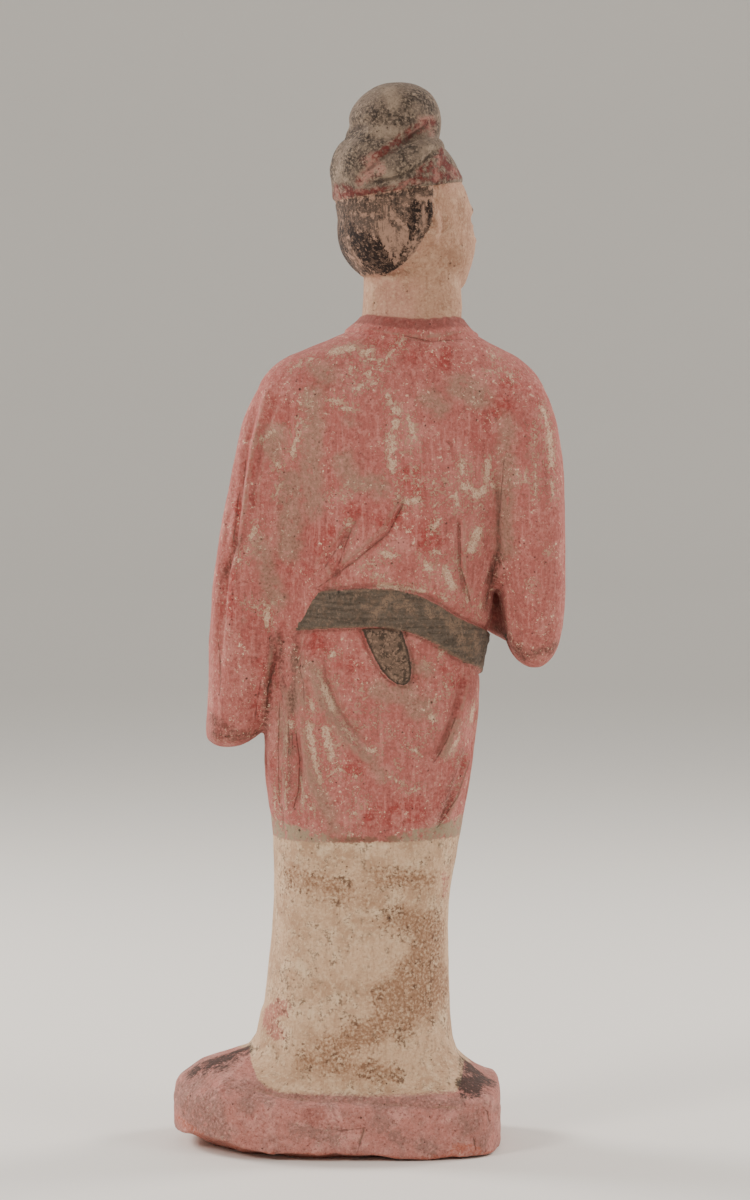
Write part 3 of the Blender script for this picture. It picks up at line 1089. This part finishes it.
tones = {  # red, green and blue from 0 to 255, as a screen shows them
    "cream": (202, 168, 137),
    "creamLight": (220, 194, 162),
    "creamDark": (160, 124, 97),
    "flake": (217, 192, 164),
    "flakeDark": (176, 138, 116),
    "robe": (164, 95, 88),
    "robeRich": (146, 52, 49),
    "robePale": (194, 132, 122),
    "robeWorn": (150, 116, 100),
    "robeDark": (104, 56, 50),
    "strip": (146, 138, 112),
    "stripBrown": (112, 84, 66),
    "belt": (94, 83, 73),
    "beltDark": (54, 46, 40),
    "beltTan": (140, 114, 95),
    "tongue": (106, 86, 73),
    "tongueTan": (150, 120, 102),
    "hairBlack": (34, 25, 22),
    "hairGrey": (74, 62, 55),
    "hairBuff": (156, 124, 106),
    "cap": (112, 96, 84),
    "capDark": (44, 37, 33),
    "capPale": (158, 138, 119),
    "capPink": (168, 118, 106),
    "capRed": (97, 40, 37),
    "skin": (173, 134, 110),
    "skinPale": (203, 171, 143),
    "skinBrown": (130, 92, 72),
    "slab": (178, 118, 108),
    "slabPale": (200, 144, 134),
    "slabGrey": (132, 102, 93),
    "slabClay": (170, 92, 70),
    "smoke": (44, 38, 35),
    "dirt": (76, 53, 44),
    "pit": (58, 39, 32),
    "stain": (134, 97, 74),
}


def toned(name):  # as the linear light that the shader works in
    linear = [(c / 255 / 12.92) if c < 11 else ((c / 255 + 0.055) / 1.055) ** 2.4
              for c in tones[name]]
    return (*linear, 1.0)


clayPaint = bpy.data.materials.new("painted_clay")
clayPaint.use_nodes = True
tree = clayPaint.node_tree
shader = tree.nodes["Principled BSDF"]
place = tree.nodes.new("ShaderNodeTexCoord").outputs["Object"]


def feed(socket, value):
    if isinstance(value, bpy.types.NodeSocket):
        tree.links.new(value, socket)
    else:
        socket.default_value = value


def field(name):
    node = tree.nodes.new("ShaderNodeAttribute")
    node.attribute_name = name
    return node.outputs["Fac"]


def placed(stretch, seed):
    node = tree.nodes.new("ShaderNodeMapping")
    node.inputs["Scale"].default_value = [1 / s for s in stretch]
    node.inputs["Location"].default_value = (seed * 0.37, seed * 0.61, seed * 0.17)
    feed(node.inputs["Vector"], place)
    return node.outputs["Vector"]


def grain(size, detail=4.0, rough=0.55, stretch=(1, 1, 1), seed=0.0):  # size in millimetres
    node = tree.nodes.new("ShaderNodeTexNoise")
    node.inputs["Scale"].default_value = 1000 / size
    node.inputs["Detail"].default_value = detail
    node.inputs["Roughness"].default_value = rough
    feed(node.inputs["Vector"], placed(stretch, seed))
    return node.outputs["Fac"]


def sums(kind, a, b=0.0, c=0.0):
    node = tree.nodes.new("ShaderNodeMath")
    node.operation = kind
    feed(node.inputs[0], a)
    feed(node.inputs[1], b)
    feed(node.inputs[2], c)
    return node.outputs[0]


def both(a, b):
    return sums("MULTIPLY", a, b)


def either(a, b):
    return sums("MAXIMUM", a, b)


def without(a, b):
    return both(a, sums("SUBTRACT", 1.0, b))


def rising(value, low, high, share=1.0):  # 0 below low, and that share above high
    node = tree.nodes.new("ShaderNodeMapRange")
    node.interpolation_type = "SMOOTHSTEP"
    feed(node.inputs["Value"], value)
    node.inputs["From Min"].default_value = low
    node.inputs["From Max"].default_value = high
    node.inputs["To Max"].default_value = share
    return node.outputs["Result"]


def dots(size, radius, share, seed):  # round dots in that share of cells of that size
    node = tree.nodes.new("ShaderNodeTexVoronoi")
    node.inputs["Scale"].default_value = 1000 / size
    feed(node.inputs["Vector"], placed((1, 1, 1), seed))
    parts = tree.nodes.new("ShaderNodeSeparateColor")
    feed(parts.inputs["Color"], node.outputs["Color"])
    chosen = rising(parts.outputs["Red"], 1 - share, 1.04 - share)
    reach = sums("MULTIPLY_ADD", parts.outputs["Green"], radius, 0.4 * radius)
    nearness = sums("SUBTRACT", reach, node.outputs["Distance"])
    return both(chosen, rising(nearness, 0.0, 0.5 * radius))


def laid(under, over, share):
    node = tree.nodes.new("ShaderNodeMix")
    node.data_type = "RGBA"
    feed(node.inputs[0], share)  # the Mix node's colours are its sockets 6 and 7
    feed(node.inputs[6], toned(under) if isinstance(under, str) else under)
    feed(node.inputs[7], toned(over) if isinstance(over, str) else over)
    return node.outputs[2]


# noises of several sizes, and three of them evened out to swing by about 1 either way
tiny = grain(0.55, 2, 0.6, seed=11)
fine = grain(1.1, 4, 0.65)
small = grain(2.6, 4, 0.62, seed=1)
middling = grain(8.0, 5, 0.6, seed=2)
broad = grain(30.0, 4, 0.55, seed=3)
patchy = grain(13.0, 5, 0.62, seed=7)
streaky = grain(1.6, 5, 0.65, stretch=(1, 1, 12), seed=4)
brushed = grain(1.2, 4, 0.6, stretch=(9, 9, 1), seed=5)
ragged = sums("MULTIPLY_ADD", sums("ADD", small, fine), 3.6, -3.6)
torn = sums("MULTIPLY_ADD", sums("ADD", fine, grain(1.9, 5, 0.75, seed=12)), 5.0, -5.0)
swinging = sums("MULTIPLY_ADD", middling, 6.0, -3.0)
pits = either(dots(2.1, 0.15, 0.45, 6), dots(5.0, 0.09, 0.5, 7))
pits = both(pits, rising(patchy, 0.34, 0.54))
flecks = rising(grain(1.5, 5, 0.8, seed=8), 0.58, 0.63)
hollow = field("hollow")


def inside(name, wander=1.0, soft=0.25, coarse=0.0, beyond=0.0):
    # the border wanders by millimetres, and lies that far beyond the marked one
    edge = sums("MULTIPLY_ADD", ragged, wander, field(name))
    if coarse:
        edge = sums("MULTIPLY_ADD", swinging, coarse, edge)
    return rising(edge, -soft - beyond, soft - beyond)


def mottled(tone, light, dark, share=1.0):  # the fine speckle that all the old paint has
    tone = laid(tone, light, rising(small, 0.5, 0.66, 0.4 * share))
    tone = laid(tone, dark, rising(fine, 0.53, 0.68, 0.5 * share))
    tone = laid(tone, light, rising(fine, 0.47, 0.34, 0.45 * share))
    return laid(tone, dark, rising(tiny, 0.56, 0.7, 0.3 * share))


def underskirt():
    tone = laid("cream", "creamDark", rising(patchy, 0.42, 0.66, 0.65))
    tone = laid(tone, "creamLight", rising(middling, 0.5, 0.68, 0.7))
    tone = laid(tone, "creamDark", rising(streaky, 0.5, 0.68, 0.45))
    tone = mottled(tone, "creamLight", "creamDark", 1.1)
    stain = either(inside("stainsIn", 2.2, 3.4, 2.4), rising(broad, 0.56, 0.75, 0.5))
    tone = laid(tone, "stain", both(stain, rising(fine, 0.2, 0.7, 0.95)))
    pink = both(inside("pinkPatchIn", 1.8, 1.2, 1.2), rising(fine, 0.3, 0.5, 0.75))
    tone = laid(tone, "robe", pink)
    grime = both(rising(small, 0.5, 0.6), rising(middling, 0.44, 0.56, 0.7))
    tone = laid(tone, "dirt", both(grime, rising(fine, 0.45, 0.53, 0.9)))
    specks = both(rising(torn, 1.1, 1.5), rising(patchy, 0.42, 0.56, 0.75))
    return laid(tone, "dirt", specks)


def robeCloth():
    rich = either(inside("richIn", 2.0, 3.0, 2.5), rising(broad, 0.52, 0.7, 0.7))
    tone = laid("robe", "robeRich", both(rich, rising(middling, 0.3, 0.62, 0.75)))
    tone = laid(tone, "robePale", rising(patchy, 0.5, 0.7, 0.55))
    tone = laid(tone, "robePale", rising(streaky, 0.52, 0.68, 0.55))
    tone = laid(tone, "robeDark", rising(streaky, 0.46, 0.3, 0.4))
    bare = either(inside("wornIn", 1.0, 2.6, 1.6, 1.0), rising(patchy, 0.38, 0.22, 0.8))
    tone = laid(tone, "robeWorn", both(bare, rising(small, 0.24, 0.48, 0.9)))
    tone = mottled(tone, "robePale", "robeDark", 1.1)
    band = rising(field("skinIn"), -5.6, -3.8)
    tone = laid(tone, "robeDark", both(band, rising(small, 0.2, 0.5, 0.6)))
    soot = both(inside("sootIn", 0.8, 2.2, 0.8), rising(fine, 0.1, 0.7, 0.85))
    tone = laid(tone, "dirt", soot)
    specks = both(rising(torn, 1.2, 1.6), rising(broad, 0.42, 0.56, 0.7))
    tone = laid(tone, "dirt", specks)
    chipped = without(rising(patchy, 0.42, 0.58, 0.95), band)
    return laid(tone, "flake", both(flecks, chipped))


def beltLeather():
    tone = laid("belt", "beltDark", rising(brushed, 0.42, 0.66, 0.6))
    tone = laid(tone, "beltDark", rising(small, 0.48, 0.66, 0.6))
    tan = both(inside("beltTanIn", 1.4, 0.9, 0.6), rising(fine, 0.42, 0.54, 0.8))
    tone = laid(tone, "beltTan", either(tan, both(flecks, 0.6)))
    tone = laid(tone, "beltTan", rising(brushed, 0.4, 0.26, 0.35))
    rim = without(1.0, rising(field("beltIn"), 0.4, 1.2))
    tone = laid(tone, "beltTan", both(rim, rising(streaky, 0.35, 0.55, 0.5)))
    rough = rising(torn, 0.3, 0.9, 0.75)
    tone = laid(tone, "beltDark", both(rough, rising(middling, 0.44, 0.58)))
    return mottled(tone, "beltTan", "beltDark", 0.8)


def tongueLeather():
    tone = laid("tongue", "beltDark", rising(small, 0.46, 0.6, 0.8))
    tone = laid(tone, "tongueTan", rising(fine, 0.48, 0.62, 0.7))
    rim = without(1.0, rising(field("tongueIn"), 0.5, 1.5))
    return laid(tone, "beltDark", both(rim, 0.8))


def hairPaint():
    tone = laid("hairBuff", "hairGrey", rising(small, 0.4, 0.56, 0.85))
    grey = inside("hairGreyIn", 1.4, 1.2, 0.8)
    tone = laid(tone, "hairGrey", both(grey, rising(fine, 0.3, 0.5, 0.9)))
    tone = laid(tone, "hairBlack", both(grey, rising(streaky, 0.48, 0.6, 0.8)))
    black = inside("hairBlackIn", 1.5, 0.4, 0.8, 0.4)
    tone = laid(tone, "hairBlack", both(black, rising(fine, 0.28, 0.42)))
    scratched = both(inside("hairBareIn", 1.0, 0.6, 0.6), rising(streaky, 0.46, 0.52, 0.9))
    tone = laid(tone, "hairBuff", scratched)
    edge = rising(field("hairIn"), 3.2, 1.2)
    tone = laid(tone, "hairBlack", both(edge, rising(small, 0.46, 0.54, 0.8)))
    tone = mottled(tone, "hairBuff", "hairBlack", 0.7)
    return laid(tone, "hairBuff", both(flecks, 0.8))


def capCloth():
    tone = laid("cap", "capPale", rising(middling, 0.5, 0.7, 0.45))
    tone = laid(tone, "capDark", rising(small, 0.47, 0.62, 0.6))
    tone = laid(tone, "capPale", both(inside("capPaleIn", 1.4, 1.2, 0.6, 0.4), 0.55))
    tone = laid(tone, "capPink", both(inside("capPinkIn", 1.4, 1.2, 0.6, 0.8), 0.75))
    dark = both(inside("capDarkIn", 1.8, 1.6, 1.0, 0.6), rising(fine, 0.3, 0.54, 0.85))
    tone = laid(tone, "capDark", dark)
    tone = mottled(tone, "capPale", "capDark", 1.2)
    tone = laid(tone, "capPale", both(flecks, 0.6))
    tie = inside("capRedIn", 0.9, 0.7, 0.5, 0.3)
    tie = both(tie, rising(small, 0.66, 0.42, 0.95))
    dyed = laid("capRed", "capPink", rising(middling, 0.5, 0.62, 0.6))
    dyed = laid(dyed, "capDark", rising(fine, 0.54, 0.66, 0.6))
    tone = laid(tone, dyed, tie)
    return laid(tone, "capDark", both(rising(hollow, 0.2, 1.0), 0.5))


def fleshPaint():
    tone = laid("skin", "skinPale", rising(patchy, 0.5, 0.72, 0.5))
    tone = laid(tone, "skinBrown", rising(middling, 0.5, 0.68, 0.45))
    tone = laid(tone, "skinBrown", rising(streaky, 0.5, 0.66, 0.4))
    tone = laid(tone, "robePale", rising(broad, 0.5, 0.7, 0.35))
    tone = laid(tone, "skinPale", both(inside("skinPaleIn", 0.8, 0.8, 0.5), 0.6))
    brown = both(inside("skinBrownIn", 1.2, 1.6, 1.0, 1.2), rising(small, 0.3, 0.6, 0.9))
    tone = laid(tone, "skinBrown", brown)
    lips = both(inside("lipsIn", 0.3, 0.5), rising(fine, 0.3, 0.5, 0.7))
    tone = laid(tone, "robe", lips)
    ink = both(inside("inkIn", 0.2, 0.25), rising(fine, 0.3, 0.46, 0.85))
    tone = laid(tone, "hairBlack", ink)
    return mottled(tone, "skinPale", "skinBrown", 0.9)


def slabPaint():
    tone = laid("slab", "slabPale", rising(middling, 0.46, 0.62, 0.75))
    tone = laid(tone, "robeDark", rising(patchy, 0.42, 0.26, 0.5))
    grey = both(inside("greyedIn", 1.6, 2.0, 1.6), rising(small, 0.3, 0.55, 0.85))
    tone = laid(tone, "slabGrey", either(rising(patchy, 0.46, 0.68, 0.8), grey))
    tone = laid(tone, "robeDark", rising(small, 0.5, 0.64, 0.6))
    bare = both(inside("clayIn", 1.2, 0.5, 0.6), rising(fine, 0.3, 0.5, 0.7))
    tone = laid(tone, "slabClay", bare)
    tone = laid(tone, "robeWorn", both(rising(hollow, 0.1, 0.8), 0.6))
    tone = mottled(tone, "slabPale", "robeDark", 1.2)
    return laid(tone, "flake", both(flecks, rising(middling, 0.5, 0.66, 0.6)))


onRobe = inside("robeIn", 0.5, 0.4)
onSkin = inside("skinIn", 0.5, 0.5)
onBelt = inside("beltIn", 0.35, 0.3)
onTongue = inside("tongueIn", 0.35, 0.25)
onCloth = without(without(onRobe, onSkin), either(onBelt, onTongue))
# flakes where the slip shows, ragged and holed, with chips scattered round them
edge = sums("MULTIPLY_ADD", torn, 1.0, field("flakesIn"))
flaked = both(rising(edge, -0.1, 0.2), rising(fine, 0.38, 0.46))
near = rising(field("flakesIn"), -6.0, 0.0, 0.17)
chips = rising(sums("ADD", fine, near), 0.69, 0.72)
flaked = both(either(flaked, both(chips, 0.85)), onRobe)
colour = laid(underskirt(), robeCloth(), onRobe)
slip = laid("flake", "flakeDark", rising(fine, 0.42, 0.62))
colour = laid(colour, slip, both(flaked, 0.9))
strip = both(inside("stripIn", 0.8, 0.8, 0.3), inside("robeIn", 0.8, 0.9))
stripTone = laid("stripBrown", "strip", rising(field("sideways"), 0.25, 0.6))
colour = laid(colour, stripTone, both(strip, rising(small, 0.3, 0.56, 0.8)))
colour = laid(colour, tongueLeather(), onTongue)
colour = laid(colour, beltLeather(), onBelt)
colour = laid(colour, fleshPaint(), onSkin)
colour = laid(colour, hairPaint(), both(inside("hairIn", 0.9, 0.6), onSkin))
colour = laid(colour, capCloth(), both(inside("capIn", 0.25, 0.25), onSkin))
colour = laid(colour, slabPaint(), inside("slabIn", 0.5, 0.8, 0.2))
smoke = both(inside("smokeIn", 1.3, 1.4, 1.0), rising(fine, 0.2, 0.44, 0.9))
colour = laid(colour, "smoke", smoke)
worn = rising(small, 0.28, 0.5, 0.85)
colour = laid(colour, "capDark", both(inside("shoeIn", 0.4, 0.4), worn))

# dirt in the hollows, the fine dark creases and the pits, and paint rubbed pale on the ridges
width = sums("MULTIPLY_ADD", small, 1.4, -0.35)
crease = rising(sums("SUBTRACT", width, sums("ABSOLUTE", field("creaseOff"))), 0.0, 0.35)
crease = both(crease, rising(field("creaseNear"), -1.6, -1.2))
creased = either(rising(hollow, 0.5, 1.6, 0.35), both(crease, 0.5))
colour = laid(colour, "dirt", both(creased, rising(small, 0.25, 0.5)))
rubbed = both(rising(sums("MULTIPLY", hollow, -1.0), 0.2, 0.9, 0.65), onCloth)
colour = laid(colour, "robeWorn", both(rubbed, rising(small, 0.3, 0.6)))
colour = laid(colour, "pit", both(pits, 0.75))
feed(shader.inputs["Base Color"], colour)
finish = {
    "shader": {"Roughness": 0.88, "Specular IOR Level": 0.2, "Sheen Weight": 0.05,
               "Sheen Roughness": 0.5},
    "bump": {"Strength": 0.85, "Distance": 0.0007},
}
relievo = sums("MULTIPLY_ADD", fine, 0.5, both(small, 1.1))
for sunk, depth in ((pits, 0.8), (flaked, 0.35), (crease, 0.5)):
    relievo = sums("SUBTRACT", relievo, both(sunk, depth))
bump = tree.nodes.new("ShaderNodeBump")
for node, kind in ((shader, "shader"), (bump, "bump")):
    for name, value in finish[kind].items():
        node.inputs[name].default_value = value
feed(bump.inputs["Height"], relievo)
feed(shader.inputs["Normal"], bump.outputs["Normal"])

attendant.data.materials.clear()
attendant.data.materials.append(clayPaint)
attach(attendant, "root")
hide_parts("attendant_figure")
print("paint mixed")

studio = {
    "floor": (0.86, 0.84, 0.80),
    # a round backdrop: distance from the middle and height, spun into a bowl
    "bowl": ((0.0, 0.0), (2.2, 0.0), (2.7, 0.07), (3.1, 0.27), (3.4, 0.6), (3.55, 1.05),
             (3.6, 1.6), (3.6, 2.2)),
    "sky": (1.0, 0.97, 0.93),
    "skyStrength": 0.58,
    "warm": (1.0, 0.94, 0.88),
    # place in metres as seen from behind, size, power in watts
    "lamps": (((-1.1, -1.0, 1.1), 0.5, 13.5), ((1.2, -0.85, 0.85), 0.6, 6.5),
              ((-0.9, 0.45, 0.7), 0.4, 12.0), ((0.95, 0.45, 0.7), 0.4, 10.0)),
    "aim": Vector((0, 0, 0.2)),  # where the lamps point
    "eye": Vector((15.1, -1508.0, 301.4)),  # the camera, from the foot, in millimetres
    "pitch": 86.7,
    "lens": 115.17,
}


def buildStudio():
    bm = bmesh.new()
    rim = [bm.verts.new((x, 0, z)) for x, z in studio["bowl"]]
    edges = [bm.edges.new(pair) for pair in zip(rim, rim[1:])]
    bmesh.ops.spin(bm, geom=rim + edges, cent=(0, 0, 0), axis=(0, 0, 1),
                   angle=2 * math.pi, steps=96, use_merge=True)
    bmesh.ops.remove_doubles(bm, verts=bm.verts, dist=0.0001)
    bmesh.ops.recalc_face_normals(bm, faces=bm.faces)
    bmesh.ops.reverse_faces(bm, faces=bm.faces)
    mesh = bpy.data.meshes.new("floor")
    bm.to_mesh(mesh)
    bm.free()
    mesh.shade_smooth()
    floor = bpy.data.objects.new("floor", mesh)
    pale = bpy.data.materials.new("pale_floor")
    pale.use_nodes = True
    coat = pale.node_tree.nodes["Principled BSDF"]
    coat.inputs["Base Color"].default_value = (*studio["floor"], 1.0)
    coat.inputs["Roughness"].default_value = 0.6
    mesh.materials.append(pale)
    bpy.context.scene.collection.objects.link(floor)
    world = bpy.data.worlds.new("studio")
    world.use_nodes = True
    background = world.node_tree.nodes["Background"]
    background.inputs["Color"].default_value = (*studio["sky"], 1.0)
    background.inputs["Strength"].default_value = studio["skyStrength"]
    bpy.context.scene.world = world
    for number, (spot, size, power) in enumerate(studio["lamps"]):
        lamp = bpy.data.lights.new(f"softbox_{number}", "AREA")
        lamp.shape = "DISK"
        lamp.size = size
        lamp.energy = power
        lamp.color = studio["warm"]
        holder = bpy.data.objects.new(lamp.name, lamp)
        holder.location = turn.to_3x3() @ Vector(spot)
        towards = studio["aim"] - holder.location
        holder.rotation_euler = towards.to_track_quat("-Z", "Y").to_euler()
        bpy.context.scene.collection.objects.link(holder)
    view = bpy.data.cameras.new("camera")
    view.sensor_fit = "VERTICAL"
    view.sensor_height = 36.0
    view.lens = studio["lens"]
    camera = bpy.data.objects.new("camera", view)
    camera.location = turn.to_3x3() @ studio["eye"] * 0.001
    camera.rotation_euler = [math.radians(a) for a in
                             (studio["pitch"], 0, 180.0 - figure["bodyYaw"])]
    bpy.context.scene.collection.objects.link(camera)
    bpy.context.scene.camera = camera


buildStudio()
print("floor, lamps and camera placed")
